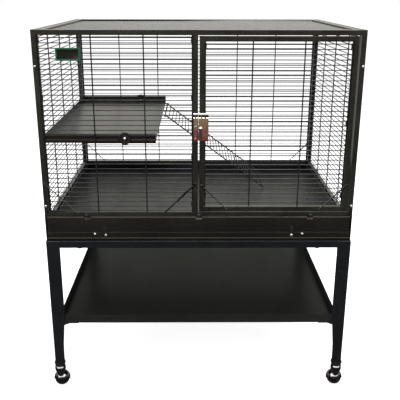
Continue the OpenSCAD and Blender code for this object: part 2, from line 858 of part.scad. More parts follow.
// Bolt through a washer and a lip, from the washer's face at y = 0
module clamp_bolt() {
    length = washer_t + wire_d + sheet_t + 12;
    bar_y(0, clamp_z, bolt_head_r, -bolt_head_h + 0.5, 0);
    bar_y(0, clamp_z, clamp_bolt_r, -eps, length);
}

module clamp_bolts() {
    y = mesh_y - wire_face - washer_t;
    color(zinc) from_front() {
        translate([clamp_front_x, y, 0]) clamp_bolt();
        translate([clamp_back_x, cage_d - y, 0]) rotate(180) clamp_bolt();
    }
}

module wing_nut() {
    hub_h = 8;
    difference() {
        union() {
            bar_y(0, clamp_z, 5.5, 0, hub_h);
            for (s = [-1, 1]) translate([s * 9, hub_h / 2 + 2, clamp_z + 2]) rotate([90, 0, 90])
                translate([0, 0, -5]) linear_extrude(10) polygon([[-2, -4], [2, -4], [6, 5], [3, 5]]);
        }
        bar_y(0, clamp_z, clamp_bolt_r + turn_clearance, -eps, hub_h + eps);
    }
}

module wing_nuts() {
    y = platform_y0 + sheet_t;
    color(zinc) from_front() {
        translate([clamp_front_x, y, 0]) wing_nut();
        translate([clamp_back_x, cage_d - y, 0]) rotate(180) wing_nut();
    }
}

// Eyes under the platform's edge that the ramp's top rod turns in
module ramp_loops() {
    tongue = 24;
    tongue_z = platform_z - sheet_t - hinge_z;
    color(frame_paint) from_front() for (s = [-1, 1])
        translate([hinge_x, ramp_y + s * loop_y - loop_w / 2, hinge_z]) difference() {
            union() {
                rotate([-90, 0, 0]) cylinder(h = loop_w, r = loop_r);
                translate([-tongue, 0, tongue_z]) cube([tongue, loop_w, sheet_t]);
            }
            rotate([-90, 0, 0]) translate([0, 0, -eps])
                cylinder(h = loop_w + 2 * eps, r = ramp_rod_d / 2 + loop_clearance);
        }
}

module ramp() {
    rungs = floor((ramp_len - wire_pitch) / wire_pitch);
    rod_end = loop_y + loop_w / 2 + 2;
    side_d = ramp_rod_d - 0.4;
    rung_z = (side_d + wire_d) / 2 - weld_bite;
    color(wire_paint) from_front() translate([hinge_x, ramp_y, hinge_z]) {
        rotate([90, 0, 0]) translate([0, 0, -rod_end]) cylinder(h = 2 * rod_end, d = ramp_rod_d);
        rotate([0, ramp_angle, 0]) {
            for (s = [-1, 1]) translate([0, s * ramp_w / 2, 0]) wire(ramp_len, side_d);
            translate([ramp_len, ramp_w / 2 + rung_overhang, 0]) rotate([90, 0, 0])
                cylinder(h = ramp_w + 2 * rung_overhang, d = ramp_rod_d);
            for (k = [1 : rungs])
                translate([k * wire_pitch, -ramp_w / 2 - rung_overhang, rung_z]) rotate(90)
                    wire(ramp_w + 2 * rung_overhang, wire_d);
        }
    }
}

// ---- Name plate ----

// Bare plate with a raised border, hung on a long wire by two hooks
module name_plate() {
    y1 = mesh_y - wire_face;
    y0 = y1 - plate_t;
    hook_z = rail_top_z - first_wire - 2 * wire_pitch + wire_face;
    z1 = plate_top_z;
    color("seagreen") from_front() translate([plate_x, 0, 0]) {
        difference() {
            block([-plate_w / 2, y0, z1 - plate_h], [plate_w / 2, y1, z1]);
            block([-plate_w / 2 + plate_border, y0 - 1, z1 - plate_h + plate_border],
                [plate_w / 2 - plate_border, y0 + 0.6, z1 - plate_border]);
        }
        for (x = [-plate_w / 4, plate_w / 4 - 6]) {
            block([x, y0 + 1, z1 - 2], [x + 6, y1, hook_z + 1]);
            block([x, y0 + 1, hook_z], [x + 6, y1 + wire_d + 1, hook_z + 1]);
            block([x, y1 + wire_d, hook_z - wire_d], [x + 6, y1 + wire_d + 1, hook_z + eps]);
        }
    }
}

// ---- Stand ----

module stand_frame() {
    t = stand_tube;
    z0 = stand_h - t;
    color(stand_paint) from_front() difference() {
        union() {
            for (y = [0, cage_d - t]) block([-stand_half_w, y, z0], [stand_half_w, y + t, stand_h]);
            for (x = [-stand_half_w, stand_half_w - t]) block([x, 0, z0], [x + t, cage_d, stand_h]);
        }
        stand_bolt_holes(z0 - eps, stand_h + eps);
    }
}

// One flange of a leg in the XZ plane, its outer edge at x = 0
module leg_flange() {
    rotate([90, 0, 0]) linear_extrude(leg_t) polygon([
        [-leg_t, caster_h], [leg_foot_w - leg_t, caster_h], [leg_mid_w - leg_t, leg_taper_z1],
        [leg_w - leg_t, leg_taper_z0], [leg_w - leg_t, stand_h], [-leg_t, stand_h]]);
}

// Angle-section leg at the front left corner
module leg() {
    difference() {
        translate([-stand_half_w, 0, 0]) {
            leg_flange();
            mirror([1, -1, 0]) leg_flange();
        }
        bar_y(-stand_half_w + shelf_bolt_x, shelf_z + shelf_lip / 2, bolt_r + bolt_clearance,
            -leg_t - 1, 1);
    }
}

// Copies a front left piece to one of the four corners
module corner(right, rear) {
    translate([0, rear ? cage_d : 0, 0]) mirror([0, rear ? 1 : 0, 0])
        mirror([right ? 1 : 0, 0, 0]) children();
}

module leg_front_left() {
    color(stand_paint) from_front() corner(false, false) leg();
}

module leg_front_right() {
    color(stand_paint) from_front() corner(true, false) leg();
}

module leg_rear_left() {
    color(stand_paint) from_front() corner(false, true) leg();
}

module leg_rear_right() {
    color(stand_paint) from_front() corner(true, true) leg();
}

module shelf() {
    z1 = shelf_z + shelf_lip;
    w = shelf_half_w;
    color(stand_paint) from_front() difference() {
        block([-w, 0, shelf_z], [w, cage_d, z1]);
        block([-w + sheet_t, sheet_t, shelf_z + sheet_t],
            [w - sheet_t, cage_d - sheet_t, z1 + 1]);
        for (s = [-1, 1])
            bar_y(s * (stand_half_w - shelf_bolt_x), shelf_z + shelf_lip / 2,
                bolt_r + bolt_clearance, -1, cage_d + 1);
    }
}

// Bracket between a leg's side flange and the underside of the shelf
module bracket() {
    x0 = -stand_half_w;
    d = stand_tube;
    translate([0, 2, 0]) {
        block([x0, 0, shelf_z - bracket_t], [x0 + bracket_l, d, shelf_z]);
        block([x0, 0, shelf_z - bracket_t - bracket_drop], [x0 + bracket_t, d, shelf_z]);
        translate([0, bracket_t, 0]) rotate([90, 0, 0]) linear_extrude(bracket_t) polygon([
            [x0, shelf_z - bracket_t + eps], [x0 + leg_w + bracket_gusset, shelf_z - bracket_t + eps],
            [x0 + bracket_t, shelf_z - bracket_t - bracket_drop], [x0, shelf_z - bracket_t - bracket_drop]]);
    }
}

module shelf_brackets() {
    color(stand_paint) from_front() for (right = [false, true], rear = [false, true])
        corner(right, rear) bracket();
}

// Bolts from inside the shelf's lips, flush with the outside of the legs
module shelf_bolts() {
    z = shelf_z + shelf_lip / 2;
    x = -stand_half_w + shelf_bolt_x;
    color(stand_paint) from_front() for (right = [false, true], rear = [false, true])
        corner(right, rear) {
            bar_y(x, z, bolt_r, -leg_t, sheet_t + eps);
            bar_y(x, z, nut_r, sheet_t, sheet_t + nut_h);
        }
}

// Bolts up through the stand into the cage's bottom rails
module stand_bolts() {
    z0 = stand_h - stand_tube;
    color(black_plastic) from_front()
        for (x = [-stand_bolt_x, stand_bolt_x], y = [stand_bolt_y, cage_d - stand_bolt_y])
            translate([x, y, 0]) {
                translate([0, 0, z0 - stand_bolt_head_h])
                    cylinder(h = stand_bolt_head_h, r = stand_bolt_head_r);
                translate([0, 0, z0 - eps])
                    cylinder(h = stand_tube + base_rail_h + eps, r = stand_bolt_r);
            }
}

// ---- Casters ----

// Block in the foot of each leg, with a round flange under it
module caster_sockets() {
    z0 = caster_h - socket_disc_h;
    color(black_plastic) from_front() for (right = [false, true], rear = [false, true])
        corner(right, rear) translate([-stand_half_w, 0, 0]) difference() {
            union() {
                translate([0, 0, caster_h - 1]) cube([socket_w, socket_w, socket_h + 1]);
                translate([swivel_in_x, swivel_in_y, z0])
                    cylinder(h = socket_disc_h, r = socket_disc_r);
            }
            translate([swivel_in_x, swivel_in_y, z0 - eps])
                cylinder(h = socket_disc_h + socket_h + 2 * eps, r = stem_r + turn_clearance);
        }
}

// Swivel place of one caster
module at_swivel(right, rear) {
    translate([(right ? 1 : -1) * (stand_half_w - swivel_in_x),
        rear ? cage_d - swivel_in_y : swivel_in_y, 0]) children();
}

// Stem, neck and hood; the ball trails towards +Y
module caster_fork() {
    hood_z = ball_r;
    cheek_r = 6;
    neck_top = caster_h - socket_disc_h - swivel_gap;
    difference() {
        union() {
            translate([0, caster_trail, hood_z]) intersection() {
                sphere(hood_r);
                union() {
                    rotate([-hood_tilt, 0, 0]) translate([-hood_r, -hood_r, 0])
                        cube([2 * hood_r, 2 * hood_r, hood_r]);
                    translate([-hood_r, 0, 0]) rotate([0, 90, 0])
                        cylinder(h = 2 * hood_r, r = cheek_r);
                }
            }
            rotate_extrude() polygon([
                [0, hood_z + 8], [neck_r - 3, hood_z + 8], [neck_r - 2, neck_top - 26],
                [neck_r, neck_top - 20], [neck_r, neck_top - 12], [neck_r - 4, neck_top - 9],
                [neck_r - 4, neck_top - 6], [neck_r - 1, neck_top - 4], [neck_r - 1, neck_top - 1],
                [neck_r - 2, neck_top], [0, neck_top]]);
            translate([0, 0, neck_top - eps])
                cylinder(h = socket_disc_h + socket_h + swivel_gap, r = stem_r);
        }
        translate([0, caster_trail, hood_z]) sphere(hood_r - hood_t);
        translate([-hood_r - 1, caster_trail, hood_z]) rotate([0, 90, 0])
            cylinder(h = 2 * hood_r + 2, r = axle_r + fit_clearance);
    }
}

module caster_axle() {
    reach = sqrt(hood_r * hood_r - axle_r * axle_r) + axle_head;
    translate([-reach, caster_trail, ball_r]) rotate([0, 90, 0])
        cylinder(h = 2 * reach, r = axle_r);
}

// Ball in two halves with a groove between them, bored for the axle
module caster_ball() {
    translate([0, caster_trail, ball_r]) rotate([0, 90, 0]) difference() {
        sphere(ball_r);
        translate([0, 0, -ball_groove / 2]) difference() {
            cylinder(h = ball_groove, r = ball_r + 1);
            translate([0, 0, -1]) cylinder(h = ball_groove + 2, r = ball_r - ball_groove);
        }
        translate([0, 0, -ball_r]) cylinder(h = 2 * ball_r, r = axle_r + turn_clearance);
    }
}

module caster_fork_fl() {
    color(chrome_plate) from_front() at_swivel(false, false) caster_fork();
}

module caster_fork_fr() {
    color(chrome_plate) from_front() at_swivel(true, false) caster_fork();
}

module caster_fork_rl() {
    color(chrome_plate) from_front() at_swivel(false, true) caster_fork();
}

module caster_fork_rr() {
    color(chrome_plate) from_front() at_swivel(true, true) caster_fork();
}

module caster_axle_fl() {
    color(zinc) from_front() at_swivel(false, false) caster_axle();
}

module caster_axle_fr() {
    color(zinc) from_front() at_swivel(true, false) caster_axle();
}

module caster_axle_rl() {
    color(zinc) from_front() at_swivel(false, true) caster_axle();
}

module caster_axle_rr() {
    color(zinc) from_front() at_swivel(true, true) caster_axle();
}

module caster_ball_fl() {
    color(black_rubber) from_front() at_swivel(false, false) caster_ball();
}

module caster_ball_fr() {
    color(black_rubber) from_front() at_swivel(true, false) caster_ball();
}

module caster_ball_rl() {
    color(black_rubber) from_front() at_swivel(false, true) caster_ball();
}

module caster_ball_rr() {
    color(black_rubber) from_front() at_swivel(true, true) caster_ball();
}

front_frame();
front_wires();
back_frame();
back_wires();
left_frame();
left_wires();
right_frame();
right_wires();
roof_frame();
roof_wires();
corner_braces();
brace_screws();
panel_bolts();
front_sill();
thumb_screws();
base_frame();
base_walls();
tray_runners();
hinge_pins();
latch_keeper();
platform();
clamp_washers();
clamp_bolts();
wing_nuts();
ramp_loops();
name_plate();
stand_frame();
leg_front_left();
leg_front_right();
leg_rear_left();
leg_rear_right();
shelf();
shelf_brackets();
shelf_bolts();
stand_bolts();
caster_sockets();
door_frame();
door_wires();
door_braces();
door_screws();
latch_plate();
latch_lever();
tray();
tray_screws();
tray_lock_left();
tray_lock_right();
ramp();
caster_fork_fl();
caster_fork_fr();
caster_fork_rl();
caster_fork_rr();
caster_axle_fl();
caster_axle_fr();
caster_axle_rl();
caster_axle_rr();
caster_ball_fl();
caster_ball_fr();
caster_ball_rl();
caster_ball_rr();
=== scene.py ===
import json
import math

import bmesh
import bpy
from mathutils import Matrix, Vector

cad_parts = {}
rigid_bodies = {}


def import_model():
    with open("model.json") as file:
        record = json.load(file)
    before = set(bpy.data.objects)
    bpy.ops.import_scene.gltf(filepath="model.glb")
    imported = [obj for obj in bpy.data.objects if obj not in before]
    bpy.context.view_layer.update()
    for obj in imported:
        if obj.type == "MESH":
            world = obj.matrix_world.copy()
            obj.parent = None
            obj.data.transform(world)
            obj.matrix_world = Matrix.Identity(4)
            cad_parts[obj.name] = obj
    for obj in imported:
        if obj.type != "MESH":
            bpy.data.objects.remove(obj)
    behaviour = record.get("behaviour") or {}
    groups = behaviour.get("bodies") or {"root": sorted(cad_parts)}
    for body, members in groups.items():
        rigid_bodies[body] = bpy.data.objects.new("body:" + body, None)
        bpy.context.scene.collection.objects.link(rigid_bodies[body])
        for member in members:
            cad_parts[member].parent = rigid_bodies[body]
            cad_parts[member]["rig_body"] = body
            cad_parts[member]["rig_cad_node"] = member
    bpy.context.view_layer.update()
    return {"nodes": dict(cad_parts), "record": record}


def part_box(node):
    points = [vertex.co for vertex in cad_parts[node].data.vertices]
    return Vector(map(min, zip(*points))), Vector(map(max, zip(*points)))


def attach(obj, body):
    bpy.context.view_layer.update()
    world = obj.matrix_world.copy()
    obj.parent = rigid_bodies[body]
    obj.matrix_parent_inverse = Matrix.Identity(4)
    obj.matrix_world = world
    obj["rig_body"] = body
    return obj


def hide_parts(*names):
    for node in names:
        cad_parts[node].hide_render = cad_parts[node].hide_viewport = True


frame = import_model()
nodes = frame["nodes"]
behaviour = frame["record"]["behaviour"]
nodeBody = {node: body for body, members in behaviour["bodies"].items() for node in members}
jointPlace = {joint["name"]: joint.get("pos_m") for joint in behaviour["joints"]}
frontY = round(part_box("front_frame")[0].y * 1000, 2)  # front plane of the cage, in millimetres
print("cage frame loaded:", len(nodes), "nodes")


def mm(*values):
    return tuple(v / 1000 for v in values)


def deselectAll():
    bpy.ops.object.select_all(action="DESELECT")


def selectOnly(piece):
    deselectAll()
    piece.select_set(True)
    bpy.context.view_layer.objects.active = piece


# What repeats is modelled once and copied, each copy with its own mesh
def duplicateOf(piece):
    selectOnly(piece)
    bpy.ops.object.duplicate()
    return bpy.context.object


# Camera at the photograph's place: metres, degrees, and millimetres of lens and sensor
shot = {
    "place": (-0.0195, -2.2724, 1.368), "turn": (72.154, -0.096, -0.404),
    "lens": 54.66, "sensor": 36, "shift": (0.0069, -0.0294), "reach": 100,
}

deselectAll()
bpy.ops.object.camera_add(location=shot["place"],
                          rotation=[math.radians(a) for a in shot["turn"]])
camera = bpy.context.object
camera.name = "photoCamera"
camera.data.sensor_width = shot["sensor"]
camera.data.lens = shot["lens"]
camera.data.shift_x, camera.data.shift_y = shot["shift"]
camera.data.clip_end = shot["reach"]
bpy.context.scene.camera = camera
bpy.context.scene.view_settings.view_transform = "Standard"
print("camera set")


# A shader value that adds a Math node whenever it is used in an expression
class Value:
    def __init__(self, tree, socket):
        self.tree = tree
        self.socket = socket

    def math(self, operation, first, second=None):
        node = self.tree.nodes.new("ShaderNodeMath")
        node.operation = operation
        for place, item in enumerate((first, second)):
            if isinstance(item, Value):
                self.tree.links.new(item.socket, node.inputs[place])
            elif item is not None:
                node.inputs[place].default_value = item
        return Value(self.tree, node.outputs[0])

    def __add__(self, other):
        return self.math("ADD", self, other)

    def __radd__(self, other):
        return self.math("ADD", other, self)

    def __sub__(self, other):
        return self.math("SUBTRACT", self, other)

    def __rsub__(self, other):
        return self.math("SUBTRACT", other, self)

    def __mul__(self, other):
        return self.math("MULTIPLY", self, other)

    def __rmul__(self, other):
        return self.math("MULTIPLY", other, self)

    def unsigned(self):
        return self.math("ABSOLUTE", self)

    def below(self, level):
        return self.math("LESS_THAN", self, level)

    def atMost(self, level):
        return self.math("MINIMUM", self, level)


# The node tree of a material or of the world, with one way to add a node and join it up
class Finish:
    def __init__(self, owner):
        owner.use_nodes = True
        self.tree = owner.node_tree
        self.tree.nodes.clear()

    def node(self, kind, settings=None, output=0, **inputs):
        made = self.tree.nodes.new("ShaderNode" + kind)
        for key, item in (settings or {}).items():
            if key == "stops":
                self.setStops(made.color_ramp, item)
            else:
                setattr(made, key, item)
        for key, item in inputs.items():
            self.feed(made, key, item)
        return Value(self.tree, made.outputs[output])

    def setStops(self, colourRamp, stops):
        while len(colourRamp.elements) < len(stops):
            colourRamp.elements.new(0.5)
        for element, (place, colour) in zip(colourRamp.elements, stops):
            element.position = place
            element.color = (*colour, 1)

    # An input is given by its name, with _ for a space, or as in0, in1 by its number
    def feed(self, made, key, item):
        if key.startswith("in"):
            socket = made.inputs[int(key[2:])]
        else:
            socket = made.inputs[key.replace("_", " ")]
        if isinstance(item, Value):
            self.tree.links.new(item.socket, socket)
        elif socket.type == "RGBA" and len(item) == 3:
            socket.default_value = (*item, 1)
        else:
            socket.default_value = item

    def place(self):
        return self.node("TexCoord", output="Object")

    def along(self, axis, vector):
        return self.node("SeparateXYZ", Vector=vector, output=axis)

    def noise(self, scale, detail, roughness=0.5, stretch=None):
        spot = self.place()
        if stretch:
            spot = self.node("Mapping", in0=spot, Scale=stretch)
        return self.node("TexNoise", Vector=spot, Scale=scale, Detail=detail,
                         Roughness=roughness, output="Fac")

    def cells(self, scale, feature="F1", output="Distance"):
        return self.node("TexVoronoi", {"feature": feature}, Vector=self.place(),
                         Scale=scale, output=output)

    # Smooth step of a value between two levels
    def between(self, value, low, high, newLow=0.0, newHigh=1.0):
        return self.node("MapRange", {"interpolation_type": "SMOOTHSTEP"}, Value=value,
                         From_Min=low, From_Max=high, To_Min=newLow, To_Max=newHigh)

    def blend(self, factor, first, second):
        return self.node("Mix", {"data_type": "RGBA"}, in0=factor, in6=first, in7=second,
                         output=2)

    # 1 in a level band round each height; heights and half widths are in millimetres
    def bands(self, levels):
        height = self.along("Z", self.place()) * 1000
        total = None
        for middle, half in levels:
            band = (height - middle).unsigned().below(half)
            total = band if total is None else total + band
        return total

    def bumps(self, height, distance, strength):
        return self.node("Bump", Height=height, Distance=distance, Strength=strength)

    def ray(self, kind):
        return self.node("LightPath", output="Is %s Ray" % kind)

    def send(self, shader, target="Material"):
        out = self.tree.nodes.new("ShaderNodeOutput" + target)
        self.tree.links.new(shader.socket, out.inputs["Surface"])

    def surface(self, **inputs):
        self.send(self.node("BsdfPrincipled", **inputs))


def newFinish(name):
    material = bpy.data.materials.new(name)
    return material, Finish(material)


# Powder coat with the dimpled skin of hammertone: patches of two shades, paler flakes, painted
# highlight bands on fold edges, and grooves that are duller
hammerSkin = {
    "patches": (0.3, 0.7), "gloss": (0.2, 0.8), "flakeSize": 0.8, "flakes": (0.72, 1.0, 0, 0.5),
    "dimpleShare": 0.7, "grainSize": 0.6, "grainShare": 0.5, "dulled": 0.6,
}


def hammertone(name, look):
    material, coat = newFinish(name)
    skin = hammerSkin
    dimples = coat.cells(look["dimples"], "SMOOTH_F1")
    drift = coat.noise(look["drift"], 4)
    flakes = coat.cells(look["dimples"] * skin["flakeSize"], output="Color")
    flake = coat.node("SeparateColor", Color=flakes, output="Red")
    shade = coat.blend(coat.between(drift, *skin["patches"]), look["dark"], look["light"])
    colour = coat.blend(coat.between(flake, *skin["flakes"]), shade, look["flake"])
    # Painted highlight: paler bands at the given heights stand in for light caught by the edges
    if "rubbed" in look:
        colour = coat.blend(coat.bands(look["rubbed"]), colour, look["rub"])
    grain = coat.noise(look["dimples"] * skin["grainSize"], 2)
    height = dimples * skin["dimpleShare"] + grain * skin["grainShare"]
    rough = coat.between(drift, *skin["gloss"], *look["roughness"])
    if "dull" in look:
        rough = rough + coat.bands(look["dull"]) * skin["dulled"]
    coat.surface(Base_Color=colour, Roughness=rough,
                 Normal=coat.bumps(height, look["depth"], look["strength"]))
    return material


# Smooth powder coat: a faint orange peel, patches of two shades, smears of gloss and, where
# given, painted highlight bands
satinSkin = {"patches": (0.3, 0.7), "gloss": (0.25, 0.75), "smearing": 0.6}


def satinCoat(name, look):
    material, coat = newFinish(name)
    drift = coat.noise(look["drift"], 4)
    peel = coat.noise(look["peel"], 2)
    smears = coat.noise(look["smears"], 5, satinSkin["smearing"], look.get("stretch"))
    colour = coat.blend(coat.between(drift, *satinSkin["patches"]), look["dark"], look["light"])
    # Painted highlight: paler bands at the given heights stand in for light caught by the edges
    if "rubbed" in look:
        colour = coat.blend(coat.bands(look["rubbed"]), colour, look["rub"])
    coat.surface(Base_Color=colour,
                 Roughness=coat.between(smears, *satinSkin["gloss"], *look["roughness"]),
                 Normal=coat.bumps(peel, look["depth"], look["strength"]),
                 Specular_IOR_Level=look.get("specular", 0.5))
    return material


# Bright or dull plating: brushed a little, with cloudy patches
platedSkin = {"patches": (0.3, 0.7), "gloss": (0.25, 0.75), "brushing": 0.7, "strength": 0.4}


def plating(name, look):
    material, metal = newFinish(name)
    clouds = metal.noise(look["clouds"], 4)
    scratches = metal.noise(look["scratches"], 3, platedSkin["brushing"], look["stretch"])
    colour = metal.blend(metal.between(clouds, *platedSkin["patches"]), look["dark"],
                         look["light"])
    rough = metal.between(clouds, *platedSkin["gloss"], *look["roughness"])
    metal.surface(Base_Color=colour, Metallic=1.0, Roughness=rough + scratches * look["scuff"],
                  Normal=metal.bumps(scratches, look["depth"], platedSkin["strength"]))
    return material


# Moulded black plastic or rubber with a fine grain and some dust; the black plastic is also
# painted into the latch's recess as shade
mouldedSkin = {"dusty": (0.45, 0.75), "gloss": (0.3, 0.7), "dusting": 0.6, "strength": 0.5}


def moulded(name, look):
    material, skin = newFinish(name)
    grain = skin.noise(look["grain"], 3)
    dust = skin.noise(look["dust"], 5, mouldedSkin["dusting"])
    colour = skin.blend(skin.between(dust, *mouldedSkin["dusty"]), look["dark"], look["light"])
    skin.surface(Base_Color=colour,
                 Roughness=skin.between(dust, *mouldedSkin["gloss"], *look["roughness"]),
                 Normal=skin.bumps(grain, look["depth"], mouldedSkin["strength"]))
    return material


# Colours are linear; sizes of a pattern are repeats per metre, its depth is in metres, and the
# painted highlight bands and dull bands are heights and half widths in millimetres
cagePaint = {
    "dark": (0.012, 0.012, 0.0098), "light": (0.022, 0.022, 0.0178),
    "flake": (0.066, 0.066, 0.055), "dimples": 640, "drift": 11,
    "roughness": (0.26, 0.38), "depth": 0.0004, "strength": 0.6,
}
basePaint = {
    "dark": (0.0045, 0.0045, 0.0038), "light": (0.0075, 0.0075, 0.006),
    "flake": (0.02, 0.02, 0.017), "dimples": 640, "drift": 7,
    "roughness": (0.16, 0.24), "depth": 0.0002, "strength": 0.3,
    # Painted highlight on the base rail's top edge
    "rubbed": ((588.2, 0.9),), "rub": (0.17, 0.165, 0.13),
}
panPaint = {
    "dark": (0.0065, 0.0065, 0.0055), "light": (0.0105, 0.0105, 0.009),
    "flake": (0.024, 0.024, 0.02), "dimples": 640, "drift": 5,
    "roughness": (0.27, 0.33), "depth": 0.00008, "strength": 0.12,
    # Painted highlight on the tray's top fold
    "rubbed": ((663.1, 0.6),), "rub": (0.11, 0.105, 0.085), "dull": ((609.7, 1.5),),
}
thinCoat = {"peel": 900, "drift": 14, "smears": 40, "depth": 0.0001, "strength": 0.4}
wirePaint = {
    **thinCoat, "dark": (0.0085, 0.008, 0.0135), "light": (0.016, 0.015, 0.024),
    "roughness": (0.28, 0.4), "specular": 0.38,
}
# The roof wires' coat: the wire coat painted lighter and warmer, as painted light from above
litRoofWirePaint = {
    **thinCoat, "dark": (0.017, 0.0158, 0.011), "light": (0.031, 0.029, 0.0205),
    "roughness": (0.3, 0.42),
}
rampPaint = {
    **thinCoat, "dark": (0.0045, 0.004, 0.0036), "light": (0.008, 0.0072, 0.0062),
    "roughness": (0.5, 0.62), "specular": 0.16,
}
standPaint = {
    "dark": (0.0075, 0.0088, 0.0112), "light": (0.0105, 0.0122, 0.0152),
    "peel": 520, "drift": 6, "smears": 11, "roughness": (0.24, 0.36),
    # Painted highlight on the stand rail's top edge
    "depth": 0.00012, "strength": 0.3, "rubbed": ((576.2, 0.8),), "rub": (0.085, 0.09, 0.108),
}
shelfPaint = {
    "dark": (0.0175, 0.0184, 0.0171), "light": (0.0262, 0.0275, 0.0253),
    "peel": 520, "drift": 2.2, "smears": 6, "roughness": (0.28, 0.36),
    "depth": 0.0001, "strength": 0.25, "stretch": (3, 1, 1), "specular": 0.042,
}
brushed = {"clouds": 60, "scratches": 300, "stretch": (1, 1, 6), "depth": 0.00003}
chromePlate = {
    **brushed, "dark": (0.62, 0.61, 0.60), "light": (0.80, 0.79, 0.77),
    "roughness": (0.05, 0.12), "scuff": 0.04,
}
hoodPlate = {
    **brushed, "dark": (0.13, 0.122, 0.122), "light": (0.19, 0.178, 0.178),
    "roughness": (0.04, 0.09), "scuff": 0.03,
}
zincPlate = {
    "dark": (0.66, 0.67, 0.68), "light": (0.84, 0.84, 0.82), "clouds": 240,
    "scratches": 700, "stretch": (1, 1, 1), "roughness": (0.34, 0.46), "scuff": 0.1,
    "depth": 0.00004,
}
blackMouldingAndShade = {
    "dark": (0.007, 0.007, 0.0075), "light": (0.017, 0.017, 0.017), "grain": 900,
    "dust": 60, "roughness": (0.3, 0.45), "depth": 0.00006,
}
blackRubber = {
    "dark": (0.006, 0.006, 0.0065), "light": (0.018, 0.0175, 0.0165), "grain": 700,
    "dust": 45, "roughness": (0.22, 0.4), "depth": 0.00005,
}
greenPaint = {
    "dark": (0.0, 0.115, 0.045), "light": (0.008, 0.165, 0.07), "peel": 800,
    "drift": 30, "smears": 50, "roughness": (0.3, 0.4), "depth": 0.00006, "strength": 0.3,
}
fieldPaint = {
    "dark": (0.004, 0.0045, 0.0045), "light": (0.007, 0.008, 0.0075), "peel": 800,
    "drift": 40, "smears": 60, "roughness": (0.22, 0.34), "depth": 0.00005, "strength": 0.3,
}

finishes = {
    "cagePaint": hammertone("cage_hammertone", cagePaint),
    "basePaint": hammertone("base_hammertone", basePaint),
    "wirePaint": satinCoat("wire_coat", wirePaint),
    "litRoofWirePaint": satinCoat("roof_coat", litRoofWirePaint),
    "rampPaint": satinCoat("ramp_coat", rampPaint),
    "panPaint": hammertone("pan_hammertone", panPaint),
    "standPaint": satinCoat("stand_coat", standPaint),
    "shelfPaint": satinCoat("shelf_coat", shelfPaint),
    "chrome": plating("chrome_plate", chromePlate),
    "hoodChrome": plating("hood_chrome", hoodPlate),
    "zinc": plating("zinc_plate", zincPlate),
    "plastic": moulded("black_moulding", blackMouldingAndShade),
    "rubber": moulded("ball_rubber", blackRubber),
    "green": satinCoat("plate_green", greenPaint),
    "field": satinCoat("plate_field", fieldPaint),
}
print("finishes made:", len(finishes))


def editMode(on=True):
    bpy.ops.object.mode_set(mode="EDIT" if on else "OBJECT")


# Select the vertices, edges or faces of the mesh being edited that pass a test
def pick(kind, test):
    bpy.ops.mesh.select_mode(type={"verts": "VERT", "edges": "EDGE", "faces": "FACE"}[kind])
    bpy.ops.mesh.select_all(action="DESELECT")
    mesh = bmesh.from_edit_mesh(bpy.context.object.data)
    for part in getattr(mesh, kind):
        if test(part):
            part.select_set(True)
    mesh.select_flush_mode()
    bmesh.update_edit_mesh(bpy.context.object.data)


# Give the faces that are selected a second finish
def paintPicked(piece, finish):
    piece.data.materials.append(finishes[finish])
    piece.active_material_index = len(piece.data.materials) - 1
    bpy.ops.object.material_slot_assign()


def mergeDoubles():
    bpy.ops.mesh.select_all(action="SELECT")
    bpy.ops.mesh.remove_doubles(threshold=0.00001)


# Put the piece's place into its mesh and give it its finish, body, node and slot
def settle(piece, name, finish, node, angle=35, merge=True):
    selectOnly(piece)
    bpy.ops.object.transform_apply(location=True, rotation=True, scale=True)
    if merge:
        editMode()
        mergeDoubles()
        bpy.ops.mesh.normals_make_consistent(inside=False)
        editMode(False)
    bpy.ops.object.shade_smooth_by_angle(angle=math.radians(angle))
    piece.name = name
    if finish:
        piece.data.materials.clear()
        piece.data.materials.append(finishes[finish])
    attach(piece, nodeBody[node])
    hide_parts(node)


# Round the sharp edges of a piece, by a width in millimetres
def roundEdges(piece, width, segments, sharpFrom):
    bevel = piece.modifiers.new("edges", "BEVEL")
    bevel.width = width / 1000
    bevel.segments = segments
    bevel.limit_method = "ANGLE"
    bevel.angle_limit = math.radians(sharpFrom)
    bpy.ops.object.modifier_apply(modifier=bevel.name)


# A merged copy of a CAD solid with its sharp edges rounded, so that they catch the light; a fold
# is the place (y, z) of an edge along X, its radius in millimetres and its number of segments
def rounded(node, name, finish, width, segments=2, angle=20, folds=()):
    piece = duplicateOf(nodes[node])
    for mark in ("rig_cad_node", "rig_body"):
        if mark in piece:
            del piece[mark]
    piece.parent = None
    editMode()
    mergeDoubles()
    bpy.ops.mesh.dissolve_limited(angle_limit=math.radians(0.5))  # one face for each flat
    for y, z, radius, steps in folds:
        line = Vector(mm(y, z))
        pick("edges", lambda e: all((v.co.yz - line).length < 1e-5 for v in e.verts))
        bpy.ops.mesh.bevel(offset=radius / 1000, offset_type="OFFSET", segments=steps)
    editMode(False)
    if width:
        roundEdges(piece, width, segments, 40)
    settle(piece, name, finish, node, angle, merge=False)
    return piece


# A turned form along +Z: a disc that is drawn out and scaled, one step (radius, height) at a
# time, in millimetres; the piece is left in edit mode with its last ring selected
def turned(steps, sides):
    (radius, height), *later = [mm(*step) for step in steps]
    deselectAll()
    bpy.ops.mesh.primitive_circle_add(vertices=sides, radius=radius, fill_type="NGON",
                                      location=(0, 0, height))
    piece = bpy.context.object
    bpy.ops.object.transform_apply(location=True)
    editMode()
    bpy.ops.mesh.select_all(action="SELECT")
    for newRadius, newHeight in later:
        bpy.ops.mesh.extrude_region_move(
            TRANSFORM_OT_translate={"value": (0, 0, newHeight - height)})
        factor = newRadius / radius
        bpy.ops.transform.resize(value=(factor, factor, 1), center_override=(0, 0, newHeight))
        radius, height = newRadius, newHeight
    return piece


# Turn a form made along +Z so that it looks forwards, backwards or sideways, and put it down
def faceOut(piece, place, way):
    turns = {"front": (90, 0, 0), "back": (-90, 0, 0), "right": (0, 90, 0), "left": (0, -90, 0)}
    piece.rotation_euler = [math.radians(a) for a in turns[way]]
    piece.location = place


